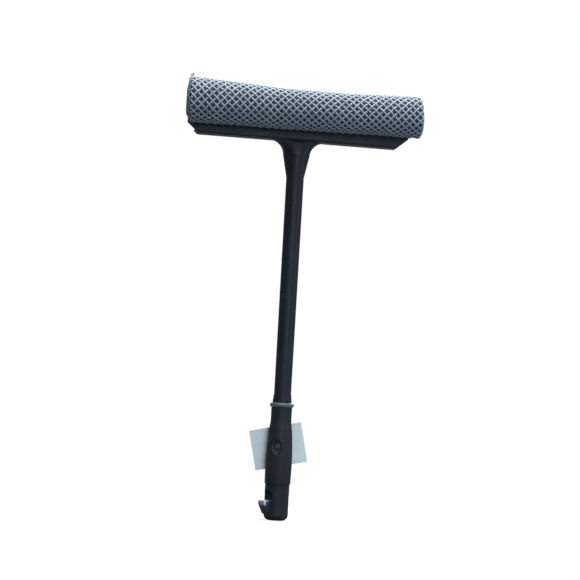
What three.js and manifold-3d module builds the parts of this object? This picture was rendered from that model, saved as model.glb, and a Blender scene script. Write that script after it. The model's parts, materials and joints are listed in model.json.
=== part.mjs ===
// A long-handled hand squeegee: a net-covered sponge on the front of a moulded T-head, a rubber
// blade in a slot on its back, and a two-part handle held together by a push-button catch.
// Millimetres, +Z up the handle, -Y to the sponge, origin at the middle of the butt's flat end.
import * as THREE from 'three';
import { mergeVertices } from 'three/addons/utils/BufferGeometryUtils.js';
import Module from 'manifold-3d';

const wasm = await Module();
wasm.setup();

// Gaps between pieces
const fit = 0.3;
const netSlack = 0.4;

// Hang cap at the butt
const capHeight = 30.2;
const capRadius = 10.3;
const capRound = 4.8;
const plugLength = 13;
const plugRadius = 7.7;
const plugWall = 1.8;
const hangWidth = 13.6;
const hangHeight = 9;
const hangFloor = 16.8;
const hangTurn = 67;
const hookReach = 15.2;
const hookWidth = 10;
const hookNose = 3;
const hookRound = 3;

// Grip, from the cap up to the collar
const gripLength = 64.3;
const gripFootRadius = 10.9;
const gripSwellRadius = 11.2;
const gripSwellRise = 23;
const gripThroatRadius = 8.8;
const gripThroatLength = 12;
const collarHeight = 3.4;
const collarRadius = 9.9;

// Shaft and the spigot that plugs into the grip
const spigotLength = 50;
const spigotRadius = 6.2;
const shaftBore = 4.5;
const shoulderRadius = 8;
const shoulderHeight = 2;
const shoulderTaper = 6;
const shaftFootRadius = 7.2;
const shaftTopRadius = 7.5;
const shaftLength = 191.3;
const neckRadius = 11.2;
const neckLength = 31;
const neckFillet = 12.5;

// Push-button catch
const catchDrop = 32.7;
const catchTurn = 20;
const buttonRadius = 2.7;
const buttonFlange = 3.3;
const buttonFlangeThickness = 1;
const buttonProud = 0.6;
const dimpleRadius = 7;
const dimpleDepth = 2;
const leafThickness = 0.5;
const leafWidth = 4.2;
const leafGap = 4.4;
const leafRise = 20;
const leafTail = 4;

// Head moulding
const barLength = 190;
const headOffset = 8;
const wall = 3;
const lipDepth = 6;
const lipThickness = 2.7;
const jawLength = 178;
const jawHeight = 11;
const jawReach = 15;
const jawLip = 3;
const topFlange = 5;
const skirtDrop = 9.5;
const skirtDepth = 13;
const skirtChamferLength = 10;
const skirtChamferHeight = 8.5;
const edgeRound = 1.2;
const ribCount = 8;
const ribThickness = 2.2;

// Sponge, net and backing plate
const padLength = 203;
const padHeight = 35.5;
const padDepth = 30;
const padBaseHeight = 25;
const padFullness = 2.5;
const padEndRound = 4;
const netThickness = 0.8;
const netStrand = 2.2;
const netColumns = 40;
const netRows = 14;
const backingThickness = 2.6;
const backingMargin = 9;

// Backing screws
const screwBay = 1;
const screwRadius = 1.4;
const screwHeadRadius = 2.6;
const screwHeadHeight = 1.9;
const screwBite = 2;
const recessWidth = 0.9;
const recessDepth = 1.1;

// Rubber blade
const bladeLength = 176;
const bladeBead = 4.4;
const bladeNeck = 2;
const bladeRoot = 3.2;
const bladeTip = 2.2;
const bladeReach = 15;

// Bare card label stuck to the back of the grip
const labelWidth = 45;
const labelHeight = 34;
const labelThickness = 0.4;
const labelTilt = 12.5;
const labelRise = 62;
const labelHug = 45;
const labelFlare = 4;

// Facets
const roundSteps = 40;
const smallSteps = 20;
const curveSteps = 6;
const edgeSteps = 3;
const fineSteps = 600;

// Length of a cutter that passes right through a piece
const cutReach = 60;

// Heights and depths that follow from the sizes above
const gripFoot = capHeight + fit;
const gripTop = gripFoot + gripLength;
const collarFoot = gripTop + fit;
const shoulderZ = collarFoot + collarHeight + fit;
const neckFoot = shoulderZ + shaftLength;
const barFoot = neckFoot + neckLength;
const trayInside = padBaseHeight / 2 + netThickness + 2 * fit;
const trayHalf = trayInside + lipThickness;
const headZ = barFoot + skirtDrop + trayHalf;
const plateFront = -headOffset;
const plateBack = plateFront + wall;
const jawMouth = plateBack + jawReach;
const skirtBack = plateFront + skirtDepth;
const ribSpan = barLength - 2 * skirtChamferLength - ribThickness;
const ribPitch = ribSpan / (ribCount - 1);
const screwX = ribSpan / 2 - (screwBay + 0.5) * ribPitch;
const screwRise = (jawHeight / 2 + trayHalf - wall) / 2;
const beadRadius = bladeBead / 2;
const beadY = jawMouth - jawLip - beadRadius - fit;
const catchZ = gripTop - catchDrop;

// Joining and cutting

function toSolid(geometry) {
  const bare = geometry.index ? geometry.toNonIndexed() : geometry.clone();
  bare.deleteAttribute('normal');
  bare.deleteAttribute('uv');
  const merged = mergeVertices(bare, 1e-4);
  return new wasm.Manifold(new wasm.Mesh({
    numProp: 3,
    vertProperties: merged.attributes.position.array,
    triVerts: new Uint32Array(merged.index.array),
  }));
}

function toGeometry(solid) {
  const { vertProperties, triVerts } = solid.getMesh();
  const geometry = new THREE.BufferGeometry();
  geometry.setAttribute('position', new THREE.BufferAttribute(vertProperties, 3));
  geometry.setIndex(new THREE.BufferAttribute(triVerts, 1));
  geometry.computeVertexNormals();
  return geometry;
}

function join(first, ...others) {
  return toGeometry(others.reduce((sum, other) => sum.add(toSolid(other)), toSolid(first)));
}

function cut(body, ...tools) {
  return toGeometry(tools.reduce((rest, tool) => rest.subtract(toSolid(tool)), toSolid(body)));
}

function common(first, second) {
  return toGeometry(toSolid(first).intersect(toSolid(second)));
}

// Shapes

const degrees = THREE.MathUtils.degToRad;
const point = (x, y) => new THREE.Vector2(x, y);
const flip = (p) => point(-p.x, p.y);

// A closed outline from corners [x, y] or [x, y, radius], each radius rounding its own corner.
function roundedShape(corners) {
  const shape = new THREE.Shape();
  corners.forEach(([x, y, radius = 0], i) => {
    const here = point(x, y);
    const towards = (other) => {
      const end = point(other[0], other[1]);
      return here.clone().add(end.sub(here).setLength(radius));
    };
    const start = towards(corners.at(i - 1));
    const end = towards(corners[(i + 1) % corners.length]);
    if (i === 0) shape.moveTo(start.x, start.y);
    else shape.lineTo(start.x, start.y);
    if (radius > 0) shape.quadraticCurveTo(x, y, end.x, end.y);
  });
  return shape;
}

// Points of an arc about a centre, angles in degrees, both ends included.
function arcPoints(centreX, centreY, radius, from, to, steps) {
  return Array.from({ length: steps + 1 }, (_, i) => {
    const angle = degrees(from + ((to - from) * i) / steps);
    return point(centreX + radius * Math.cos(angle), centreY + radius * Math.sin(angle));
  });
}

// A solid of revolution about Z from [radius, height] points.
function revolve(profile, steps = roundSteps) {
  return new THREE.LatheGeometry(profile, steps).rotateX(Math.PI / 2);
}

const alongX = new THREE.Matrix4().makeBasis(
  new THREE.Vector3(0, 1, 0), new THREE.Vector3(0, 0, 1), new THREE.Vector3(1, 0, 0));
const alongY = new THREE.Matrix4().makeBasis(
  new THREE.Vector3(1, 0, 0), new THREE.Vector3(0, 0, 1), new THREE.Vector3(0, -1, 0));

// A (y, z) section drawn out along X, or an (x, z) outline along Y, both centred on the origin.
function extrudeX(shape, length, options = {}) {
  const settings = { depth: length, bevelEnabled: false, curveSegments: edgeSteps, ...options };
  const centring = -length / 2;
  return new THREE.ExtrudeGeometry(shape, settings).translate(0, 0, centring).applyMatrix4(alongX);
}

function extrudeY(shape, length) {
  const settings = { depth: length, bevelEnabled: false, curveSegments: edgeSteps };
  return new THREE.ExtrudeGeometry(shape, settings).translate(0, 0, -length / 2).applyMatrix4(alongY);
}

// A plain cylinder along Y, from one y to another.
function rodY(radius, from, to, steps = smallSteps) {
  return new THREE.CylinderGeometry(radius, radius, to - from, steps).translate(0, (from + to) / 2, 0);
}

// A closed body through rings of equal count, counter-clockwise seen from the last ring.
function loft(rings) {
  const count = rings[0].length;
  const positions = rings.flat().flatMap((p) => [p.x, p.y, p.z]);
  const index = [];
  for (let ring = 0; ring < rings.length - 1; ring++) {
    for (let i = 0; i < count; i++) {
      const a = ring * count + i;
      const b = ring * count + ((i + 1) % count);
      index.push(a, b, b + count, a, b + count, a + count);
    }
  }
  const last = (rings.length - 1) * count;
  for (let i = 1; i < count - 1; i++) {
    index.push(0, i + 1, i, last, last + i, last + i + 1);
  }
  const geometry = new THREE.BufferGeometry();
  geometry.setAttribute('position', new THREE.Float32BufferAttribute(positions, 3));
  geometry.setIndex(index);
  return geometry;
}

// A sheet with thickness: each vertex has an outer and an inner point, triangles run
// counter-clockwise seen from outside, and every open edge is closed by a wall.
function thickSheet(vertices, triangles) {
  const count = vertices.length;
  const sides = [...vertices.map((v) => v.outer), ...vertices.map((v) => v.inner)];
  const index = [];
  const open = new Map();
  for (const [a, b, c] of triangles) {
    index.push(a, b, c, a + count, c + count, b + count);
    for (const [from, to] of [[a, b], [b, c], [c, a]]) {
      if (!open.delete(`${to},${from}`)) open.set(`${from},${to}`, [from, to]);
    }
  }
  for (const [from, to] of open.values()) {
    index.push(to, from, from + count, to, from + count, to + count);
  }
  const geometry = new THREE.BufferGeometry();
  const positions = sides.flatMap((p) => [p.x, p.y, p.z]);
  geometry.setAttribute('position', new THREE.Float32BufferAttribute(positions, 3));
  geometry.setIndex(index);
  return geometry;
}

// Head moulding: tray, blade jaws, ribs, neck, shaft and spigot in one piece

function barSection() {
  const foot = -trayHalf - skirtDrop;
  const flangeTop = trayHalf - wall;
  return roundedShape([
    [plateFront, foot, 2 * edgeRound],
    [skirtBack, foot, edgeRound],
    [skirtBack, foot + wall, edgeRound],
    [plateBack, foot + wall, edgeRound],
    [plateBack, flangeTop, edgeRound],
    [plateBack + topFlange, flangeTop, edgeRound],
    [plateBack + topFlange, trayHalf, edgeRound],
    [plateFront - lipDepth, trayHalf, edgeRound],
    [plateFront - lipDepth, trayInside, edgeRound],
    [plateFront, trayInside],
    [plateFront, -trayInside],
    [plateFront - lipDepth, -trayInside, edgeRound],
    [plateFront - lipDepth, -trayHalf, edgeRound],
    [plateFront, -trayHalf, edgeRound],
  ]);
}

// The solid block on the bar's back that the blade's slot is cut into.
function bladeJaws() {
  const jaw = jawHeight / 2;
  const root = plateBack - edgeRound;
  return extrudeX(roundedShape([
    [root, -jaw], [jawMouth, -jaw, 2 * edgeRound], [jawMouth, jaw, 2 * edgeRound], [root, jaw],
  ]), jawLength);
}

// The keyhole that the blade's bead slides in, as a (y, z) outline open past the jaws' mouth.
function bladeSlot() {
  const radius = beadRadius + fit;
  const half = bladeNeck / 2 + fit;
  const mouth = THREE.MathUtils.radToDeg(Math.asin(half / radius));
  const past = jawMouth + jawLip;
  const round = arcPoints(beadY, 0, radius, mouth, 360 - mouth, 2 * curveSteps);
  return new THREE.Shape([...round, point(past, -half), point(past, half)]);
}

// Ribs above and below the jaws, each sunk a little into the walls that it stiffens.
function ribPair(x) {
  const jaw = jawHeight / 2;
  const sunk = edgeRound;
  const upper = new THREE.Shape([
    point(plateBack - sunk, jaw - sunk), point(jawMouth - jawLip, jaw - sunk),
    point(jawMouth - jawLip, jaw), point(plateBack + topFlange - sunk, trayHalf - sunk),
    point(plateBack - sunk, trayHalf - sunk)]);
  const foot = -trayHalf - skirtDrop;
  const lower = new THREE.Shape([
    point(plateBack - sunk, foot + sunk), point(skirtBack - sunk, foot + sunk),
    point(skirtBack - sunk, foot + wall), point(jawMouth - jawLip, -jaw),
    point(jawMouth - jawLip, sunk - jaw), point(plateBack - sunk, sunk - jaw)]);
  return [upper, lower].map((shape) => extrudeX(shape, ribThickness).translate(x, 0, 0));
}

// The slanted lower corners of the skirt.
function skirtChamfer(side) {
  const end = side * barLength / 2;
  const past = side * (barLength / 2 + skirtChamferLength);
  const foot = -trayHalf - skirtDrop;
  const low = foot - skirtChamferHeight;
  const corner = [
    point(end - side * skirtChamferLength, foot), point(end - side * skirtChamferLength, low),
    point(past, low), point(past, foot + skirtChamferHeight), point(end, foot + skirtChamferHeight)];
  const outline = side > 0 ? corner : corner.reverse();
  return extrudeY(new THREE.Shape(outline), cutReach);
}

function headBar() {
  const ribs = Array.from({ length: ribCount }, (_, i) => ribPair(i * ribPitch - ribSpan / 2));
  const ribbed = join(extrudeX(barSection(), barLength), bladeJaws(), ...ribs.flat());
  const slot = extrudeX(bladeSlot(), barLength + cutReach);
  const holes = screwPlaces().map(([x, z]) =>
    rodY(screwRadius + fit, plateFront - wall, plateBack + wall).translate(x, 0, z));
  return cut(ribbed, slot, skirtChamfer(1), skirtChamfer(-1), ...holes).translate(0, 0, headZ);
}

// The neck's rings: round on the shaft, flaring along X in a fillet under the bar.
function neckFlare() {
  const middle = (plateFront + skirtBack) / 2;
  const rings = [];
  const ring = (z, halfX, halfY, centreY) => {
    rings.push(Array.from({ length: roundSteps }, (_, i) => {
      const angle = (2 * Math.PI * i) / roundSteps;
      return new THREE.Vector3(halfX * Math.cos(angle), centreY + halfY * Math.sin(angle), z);
    }));
  };
  ring(neckFoot, shaftTopRadius, shaftTopRadius, 0);
  for (let i = 0; i <= curveSteps; i++) {
    const turn = (Math.PI / 2) * (i / curveSteps);
    const share = i / curveSteps;
    const halfX = neckRadius + neckFillet * (1 - Math.cos(turn));
    const halfY = THREE.MathUtils.lerp(neckRadius, skirtDepth / 2, share);
    ring(barFoot - neckFillet * (1 - Math.sin(turn)), halfX, halfY, share * middle);
  }
  ring(barFoot + wall, neckRadius + neckFillet, skirtDepth / 2 - edgeRound, middle);
  return loft(rings);
}

function shaftBody() {
  const foot = gripTop - spigotLength;
  const outside = [
    point(0, foot), point(spigotRadius - edgeRound, foot), point(spigotRadius, foot + edgeRound),
    point(spigotRadius, shoulderZ), point(shoulderRadius, shoulderZ),
    point(shoulderRadius, shoulderZ + shoulderHeight),
    point(shaftFootRadius, shoulderZ + shoulderHeight + shoulderTaper),
    point(shaftTopRadius, neckFoot), point(0, neckFoot)];
  return revolve(outside);
}

// The hollow up the middle of the shaft, open at the spigot's end.
function shaftCore() {
  const foot = gripTop - spigotLength;
  return revolve([
    point(0, foot - wall), point(shaftBore, foot - wall),
    point(shaftBore, neckFoot - shaftBore), point(0, neckFoot)]);
}

function headFrame() {
  const stem = join(shaftBody(), neckFlare(), headBar());
  const buttonHole = rodY(buttonRadius + fit, -cutReach, 0).translate(0, 0, catchZ);
  return cut(stem, shaftCore(), buttonHole.rotateZ(degrees(-catchTurn)));
}

// Sponge, net and backing plate. Depth is counted forward from the tray's plate.

const crownFoot = lipDepth + netThickness + 2 * fit;

// A point of the sponge's crown, grown outward: turn runs from -90 at the lower edge to 90.
function crownPoint(turn, growth) {
  const shaped = (value) => Math.sign(value) * Math.abs(value) ** (2 / padFullness);
  const depth = crownFoot + (padDepth - crownFoot + growth) * shaped(Math.cos(degrees(turn)));
  const rise = (padHeight / 2 + growth) * shaped(Math.sin(degrees(turn)));
  return point(plateFront - depth, rise);
}

// Turns that space points evenly along the crown, found on a fine polyline.
function evenTurns(count) {
  const turns = Array.from({ length: fineSteps + 1 }, (_, i) => (180 * i) / fineSteps - 90);
  const along = [0];
  for (let i = 1; i <= fineSteps; i++) {
    along.push(along[i - 1] + crownPoint(turns[i], 0).distanceTo(crownPoint(turns[i - 1], 0)));
  }
  return Array.from({ length: count + 1 }, (_, k) => {
    const target = (along[fineSteps] * k) / count;
    return turns[along.findIndex((length) => length >= target)];
  });
}

function spongePad() {
  const foot = plateFront - backingThickness - 2 * fit;
  const half = padBaseHeight / 2;
  const crown = evenTurns(2 * netRows).map((turn) => crownPoint(turn, 0));
  const neck = crown[0].x;
  const outline = [
    point(foot, half), point(neck, half), ...crown.reverse(),
    point(neck, -half), point(foot, -half)];
  const options = {
    bevelEnabled: true, bevelThickness: padEndRound, bevelSize: padEndRound / 2,
    bevelOffset: -padEndRound / 2, bevelSegments: edgeSteps,
  };
  const length = padLength - 2 * padEndRound;
  return extrudeX(new THREE.Shape(outline), length, options).translate(0, 0, headZ);
}

// The net: a lattice of strands that cross at every second point of a grid over the crown, a
// diamond gap round each point between, and plain hems that turn under and tuck into the tray.
function meshCover() {
  const turns = evenTurns(netRows);
  const step = padLength / netColumns;
  const vertices = [];
  const places = new Map();
  const at = (column, row) => {
    const key = `${column.toFixed(4)},${row.toFixed(4)}`;
    if (!places.has(key)) {
      const low = Math.min(Math.floor(row), netRows - 1);
      const turn = THREE.MathUtils.lerp(turns[low], turns[low + 1], row - low);
      const x = (column - netColumns / 2) * step;
      places.set(key, vertices.length);
      vertices.push(sheetVertex(x, crownPoint(turn, netSlack + netThickness), crownPoint(turn, netSlack)));
    }
    return places.get(key);
  };
  const rowLength = crownPoint(turns[0], 0).distanceTo(crownPoint(turns[1], 0));
  const gap = 1 - netStrand / 2 / ((step * rowLength) / Math.hypot(step, rowLength));
  const onNet = ([column, row]) => column >= 0 && column <= netColumns && row >= 0 && row <= netRows;
  const triangles = [];
  const diamond = (column, row) => {
    const offsets = [[1, 0], [0, 1], [-1, 0], [0, -1]];
    const corners = offsets.map(([across, up]) => [column + across, row + up]);
    const rim = offsets.map(([across, up]) => [column + across * gap, row + up * gap]);
    const whole = corners.every(onNet);
    corners.forEach((corner, k) => {
      const next = (k + 1) % corners.length;
      if (!onNet(corner) || !onNet(corners[next])) return;
      const [a, b] = [at(...corner), at(...corners[next])];
      if (whole) triangles.push([a, b, at(...rim[next])], [a, at(...rim[next]), at(...rim[k])]);
      else triangles.push([a, b, at(column, row)]);
    });
  };
  for (let column = 0; column <= netColumns; column++) {
    for (let row = 1 - (column % 2); row <= netRows; row += 2) diamond(column, row);
  }
  for (const side of [-1, 1]) triangles.push(...hem(side, at, vertices));
  return thickSheet(vertices, triangles).translate(0, 0, headZ);
}

function sheetVertex(x, outer, inner) {
  return {
    outer: new THREE.Vector3(x, outer.x, outer.y),
    inner: new THREE.Vector3(x, inner.x, inner.y),
  };
}

// One hem: from the crown's edge under the overhang to the tray, then back along the sponge's foot.
function hem(side, at, vertices) {
  const row = side > 0 ? netRows : 0;
  const inner = padBaseHeight / 2 + fit;
  const outer = inner + netThickness;
  const front = plateFront - lipDepth - fit;
  const deep = plateFront - backingThickness - 2 * fit;
  const stations = [
    [point(front, side * outer), point(front - netThickness, side * inner)],
    [point(deep, side * outer), point(deep, side * inner)],
  ];
  const triangles = [];
  const rail = (column) => {
    const x = (column / netColumns - 0.5) * padLength;
    const added = stations.map(([out, ins]) => vertices.push(sheetVertex(x, out, ins)) - 1);
    return [at(column, row), ...added];
  };
  let before = rail(0);
  for (let column = 1; column <= netColumns; column++) {
    const now = rail(column);
    for (let k = 0; k < stations.length; k++) {
      const quad = [before[k], now[k], now[k + 1], before[k + 1]];
      if (side < 0) quad.reverse();
      const [a, b, c, d] = quad;
      triangles.push([a, b, c], [a, c, d]);
    }
    before = now;
  }
  return triangles;
}

function screwPlaces() {
  return [[-1, 1], [1, 1], [-1, -1], [1, -1]].map(([sideX, sideZ]) => [sideX * screwX, sideZ * screwRise]);
}

function spongeBacking() {
  const half = padBaseHeight / 2;
  const front = plateFront - fit - backingThickness;
  const back = plateFront - fit;
  const plate = extrudeX(roundedShape([
    [back, -half], [back, half], [front, half, edgeRound], [front, -half, edgeRound]]),
    padLength - 2 * backingMargin);
  const holes = screwPlaces().map(([x, z]) =>
    rodY(screwRadius + fit, front - wall, back + wall).translate(x, 0, z));
  return cut(plate, ...holes).translate(0, 0, headZ);
}

// A pan-head screw along Y, its head on the back of the tray's plate.
function backingScrew([x, z]) {
  const seat = plateBack + fit;
  const tip = plateFront - fit - screwBite;
  const body = new THREE.LatheGeometry([
    point(0, tip), point(screwRadius, tip + screwRadius / 2), point(screwRadius, seat),
    point(screwHeadRadius, seat), point(screwHeadRadius, seat + screwHeadHeight / 2),
    point(screwHeadRadius - screwHeadHeight / 2, seat + screwHeadHeight),
    point(0, seat + screwHeadHeight)], smallSteps);
  const top = seat + screwHeadHeight;
  const slots = [0, Math.PI / 2].map((turn) =>
    new THREE.BoxGeometry(screwHeadRadius, 2 * recessDepth, recessWidth).rotateY(turn).translate(0, top, 0));
  return cut(body, ...slots).translate(x, 0, headZ + z);
}

// Blade: a bead in the slot, a thin neck through the jaws, and a lip that thins to a square edge

function rubberBlade() {
  const neck = bladeNeck / 2;
  const start = THREE.MathUtils.radToDeg(Math.asin(neck / beadRadius));
  const bead = arcPoints(beadY, 0, beadRadius, start, 360 - start, 2 * curveSteps);
  const root = jawMouth + fit;
  const outline = [
    ...bead, point(root, -neck), point(root, -bladeRoot / 2), point(root + bladeReach, -bladeTip / 2),
    point(root + bladeReach, bladeTip / 2), point(root, bladeRoot / 2), point(root, neck)];
  return extrudeX(new THREE.Shape(outline), bladeLength).translate(0, 0, headZ);
}

// Handle pieces below the shoulder

function collarRing() {
  const inside = spigotRadius + fit;
  const bulge = collarHeight / 2;
  const rim = arcPoints(collarRadius - bulge, collarFoot + bulge, bulge, -90, 90, curveSteps);
  const hole = [point(inside, collarFoot + collarHeight), point(inside, collarFoot)];
  return revolve([...rim, ...hole, rim[0].clone()]);
}

function gripOutline() {
  const curve = new THREE.SplineCurve([
    point(gripFootRadius, gripFoot), point(gripSwellRadius, gripFoot + gripSwellRise),
    point((gripSwellRadius + gripThroatRadius) / 2, (gripFoot + gripSwellRise + gripTop) / 2),
    point(gripThroatRadius, gripTop - gripThroatLength), point(gripThroatRadius, gripTop)]);
  return curve.getPoints(2 * curveSteps);
}

// The finger dimple's cutter: a ball that leaves a dish of the given radius and depth.
function fingerDimple() {
  const ball = (dimpleRadius ** 2 + dimpleDepth ** 2) / (2 * dimpleDepth);
  const surface = gripRadiusAt(catchZ);
  return new THREE.SphereGeometry(ball, smallSteps, smallSteps / 2)
    .translate(0, dimpleDepth - surface - ball, catchZ);
}

function gripRadiusAt(z) {
  const outline = gripOutline();
  const above = outline.findIndex((p) => p.y >= z);
  const [low, high] = [outline[above - 1], outline[above]];
  return THREE.MathUtils.mapLinear(z, low.y, high.y, low.x, high.x);
}

function gripShell() {
  const socket = spigotRadius + fit;
  const well = plugRadius + fit;
  const wellTop = gripFoot + plugLength;
  const spigotFoot = gripTop - spigotLength;
  const floor = Math.max(wellTop, spigotFoot - wall);
  const inside = [
    point(socket, gripTop), point(socket, floor), point(well, floor), point(well, gripFoot)];
  const body = revolve([...gripOutline(), ...inside, gripOutline()[0]]);
  const hole = rodY(buttonRadius + fit, -cutReach, 0).translate(0, 0, catchZ);
  const turn = degrees(-catchTurn);
  return cut(body, fingerDimple().rotateZ(turn), hole.rotateZ(turn));
}

// The butt's cap: a plug in the grip, an arched hang hole and the hook lip under it.
function hangCap() {
  const corner = arcPoints(capRadius - capRound, capRound, capRound, -90, 0, curveSteps);
  const plugTop = capHeight + plugLength - fit;
  const body = revolve([
    point(0, 0), ...corner, point(capRadius, capHeight), point(plugRadius, capHeight),
    point(plugRadius, plugTop - edgeRound), point(plugRadius - edgeRound, plugTop),
    point(plugRadius - plugWall, plugTop), point(plugRadius - plugWall, capHeight), point(0, capHeight)]);
  const hooked = join(body, hookLip());
  return cut(hooked, hangHole().rotateZ(degrees(-hangTurn)));
}

function hangHole() {
  const half = hangWidth / 2;
  const spring = hangFloor + hangHeight - half;
  const arch = arcPoints(0, spring, half, 0, 180, 2 * curveSteps);
  return extrudeY(new THREE.Shape([point(-half, hangFloor), point(half, hangFloor), ...arch]), cutReach);
}

// A beak under the hole: a (y, z) outline with its nose to -Y, within an (x, z) outline that rounds
// its upper sides, turned to face the hole's mouth.
function hookLip() {
  const rootY = -capRadius / 2;
  const beak = roundedShape([
    [rootY, hangFloor], [-hookReach, hangFloor, edgeRound], [-hookReach, hangFloor - hookNose, edgeRound],
    [-capRadius, capRound, edgeRound], [rootY, capRound]]);
  const half = hookWidth / 2;
  const front = roundedShape([
    [-half, 0], [half, 0], [half, hangFloor, hookRound], [-half, hangFloor, hookRound]]);
  return common(extrudeX(beak, hookWidth), extrudeY(front, cutReach)).rotateZ(degrees(-hangTurn));
}

// Catch: a button through spigot and grip, and the hairpin leaf that pushes it out.
// Drawn facing -Y; the group that holds them is turned to where the button sits.

const flangeTop = Math.sqrt(shaftBore ** 2 - buttonFlange ** 2) - fit;
const flangeFoot = flangeTop - buttonFlangeThickness;

function lockButton() {
  const top = gripRadiusAt(catchZ) - dimpleDepth + buttonProud;
  const dome = buttonRadius / 2;
  const crown = arcPoints(buttonRadius - dome, top - dome, dome, 0, 90, curveSteps / 2);
  const profile = [
    point(0, flangeFoot), point(buttonFlange, flangeFoot), point(buttonFlange, flangeTop),
    point(buttonRadius, flangeTop), ...crown, point(0, top)];
  return new THREE.LatheGeometry(profile, smallSteps).rotateZ(Math.PI).translate(0, 0, catchZ);
}

function catchSpring() {
  const front = -(flangeFoot - fit - leafThickness / 2);
  const back = front + leafGap;
  const foot = catchZ - leafTail;
  const top = catchZ + leafRise;
  const half = leafThickness / 2;
  const middle = (front + back) / 2;
  const outer = arcPoints(middle, top, leafGap / 2 + half, 0, 180, curveSteps);
  const inner = arcPoints(middle, top, leafGap / 2 - half, 180, 0, curveSteps);
  const outline = [
    point(back + half, foot), ...outer, point(front - half, foot),
    point(front + half, foot), ...inner, point(back - half, foot)];
  return extrudeX(new THREE.Shape(outline), leafWidth);
}

// Label: a strip of card that hugs the grip's back and flares into two flat wings, cut askew

function blankLabel() {
  const radius = gripSwellRadius + fit;
  const reach = radius + labelFlare + labelThickness;
  const centreX = reach * Math.sin(degrees(labelHug));
  const centreY = reach * Math.cos(degrees(labelHug));
  const side = (hug, flare) => [
    ...arcPoints(0, 0, hug, 90, 90 - labelHug, curveSteps).slice(1),
    ...arcPoints(centreX, centreY, flare, 270 - labelHug, 270, curveSteps).slice(1),
    point(labelWidth, centreY - flare)];
  const near = side(radius, labelFlare + labelThickness);
  const far = side(radius + labelThickness, labelFlare);
  const outline = [
    ...near.toReversed().map(flip), point(0, radius), ...near,
    ...far.toReversed(), point(0, radius + labelThickness), ...far.map(flip)];
  const strip = new THREE.ExtrudeGeometry(new THREE.Shape(outline), {
    depth: 2 * labelWidth, bevelEnabled: false,
  }).translate(0, 0, labelRise - labelWidth);
  const frame = new THREE.BoxGeometry(labelWidth, 4 * gripSwellRadius, labelHeight)
    .rotateY(degrees(-labelTilt)).translate(0, 0, labelRise);
  return common(strip, frame);
}

// Assembly

const blackPlastic = new THREE.MeshStandardMaterial({ color: 0x232a30, roughness: 0.5 });
const greyCollar = new THREE.MeshStandardMaterial({ color: 0x5d6a7b, roughness: 0.4 });
const foam = new THREE.MeshStandardMaterial({ color: 0x2b3138, roughness: 0.95 });
const netting = new THREE.MeshStandardMaterial({ color: 0x98a4ae, roughness: 0.7 });
const rubber = new THREE.MeshStandardMaterial({ color: 0x17191b, roughness: 0.8 });
const steel = new THREE.MeshStandardMaterial({ color: 0xb4b8bc, roughness: 0.35, metalness: 1 });
const card = new THREE.MeshStandardMaterial({ color: 0xb4c4cc, roughness: 0.6 });

function piece(name, geometry, material) {
  const mesh = new THREE.Mesh(geometry, material);
  mesh.name = name;
  return mesh;
}

const head = new THREE.Group();
head.add(
  piece('head_frame', headFrame(), blackPlastic),
  piece('sponge_backing', spongeBacking(), blackPlastic),
  piece('sponge_pad', spongePad(), foam),
  piece('mesh_cover', meshCover(), netting),
  piece('rubber_blade', rubberBlade(), rubber),
  ...screwPlaces().map((place, i) => piece(`backing_screw_${i + 1}`, backingScrew(place), steel)));

const catchGroup = new THREE.Group();
catchGroup.rotation.z = degrees(-catchTurn);
catchGroup.add(
  piece('lock_button', lockButton(), blackPlastic),
  piece('catch_spring', catchSpring(), steel));

const handle = new THREE.Group();
handle.add(
  piece('collar_ring', collarRing(), greyCollar),
  piece('grip_shell', gripShell(), blackPlastic),
  piece('hang_cap', hangCap(), blackPlastic),
  piece('blank_label', blankLabel(), card),
  catchGroup);

const squeegee = new THREE.Group();
squeegee.add(head, handle);

export default squeegee;
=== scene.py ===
# %% [markdown]
# # A hand squeegee
# The tool is a moulded T: a sponge under a net on the front of its head, a rubber blade on the
# back, and a handle in two parts that meet at a light ring. A CAD model already fixes every size
# and place. This lesson loads that model, keeps its hard pieces and its card, rebuilds the sponge
# and the net as soft pieces, and gives each piece a finish made of shader nodes.

# %% Load the model and measure it
import json
import math

import bpy
import numpy as np
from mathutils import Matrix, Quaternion, Vector


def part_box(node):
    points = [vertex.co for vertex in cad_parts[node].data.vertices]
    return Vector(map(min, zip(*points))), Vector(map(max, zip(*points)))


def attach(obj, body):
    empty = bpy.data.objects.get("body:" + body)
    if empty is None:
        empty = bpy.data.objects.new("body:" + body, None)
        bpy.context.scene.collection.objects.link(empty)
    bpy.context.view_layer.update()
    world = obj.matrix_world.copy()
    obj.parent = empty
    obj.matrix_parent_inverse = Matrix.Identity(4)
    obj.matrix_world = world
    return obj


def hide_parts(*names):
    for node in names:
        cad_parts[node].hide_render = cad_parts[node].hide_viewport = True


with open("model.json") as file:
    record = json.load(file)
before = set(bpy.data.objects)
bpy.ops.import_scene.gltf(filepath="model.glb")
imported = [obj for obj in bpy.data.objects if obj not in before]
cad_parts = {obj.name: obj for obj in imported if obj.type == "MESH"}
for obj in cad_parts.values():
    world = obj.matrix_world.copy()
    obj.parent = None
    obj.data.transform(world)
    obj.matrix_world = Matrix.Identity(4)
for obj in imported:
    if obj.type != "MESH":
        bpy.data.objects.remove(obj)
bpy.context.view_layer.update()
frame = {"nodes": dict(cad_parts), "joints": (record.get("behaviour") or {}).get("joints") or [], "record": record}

mm = 0.001
print("pieces:", ", ".join(sorted(frame["nodes"])))

# %% [markdown]
# ## The camera
# The photograph looks at the sponge side from a little to the left, from about a metre and a half
# away and from low down, about level with the light ring. A long lens keeps the handle's sides
# parallel, and a small roll gives the tool its lean. The lens could be found by trial, but it
# follows from how wide a strip the picture shows at that distance.

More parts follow.
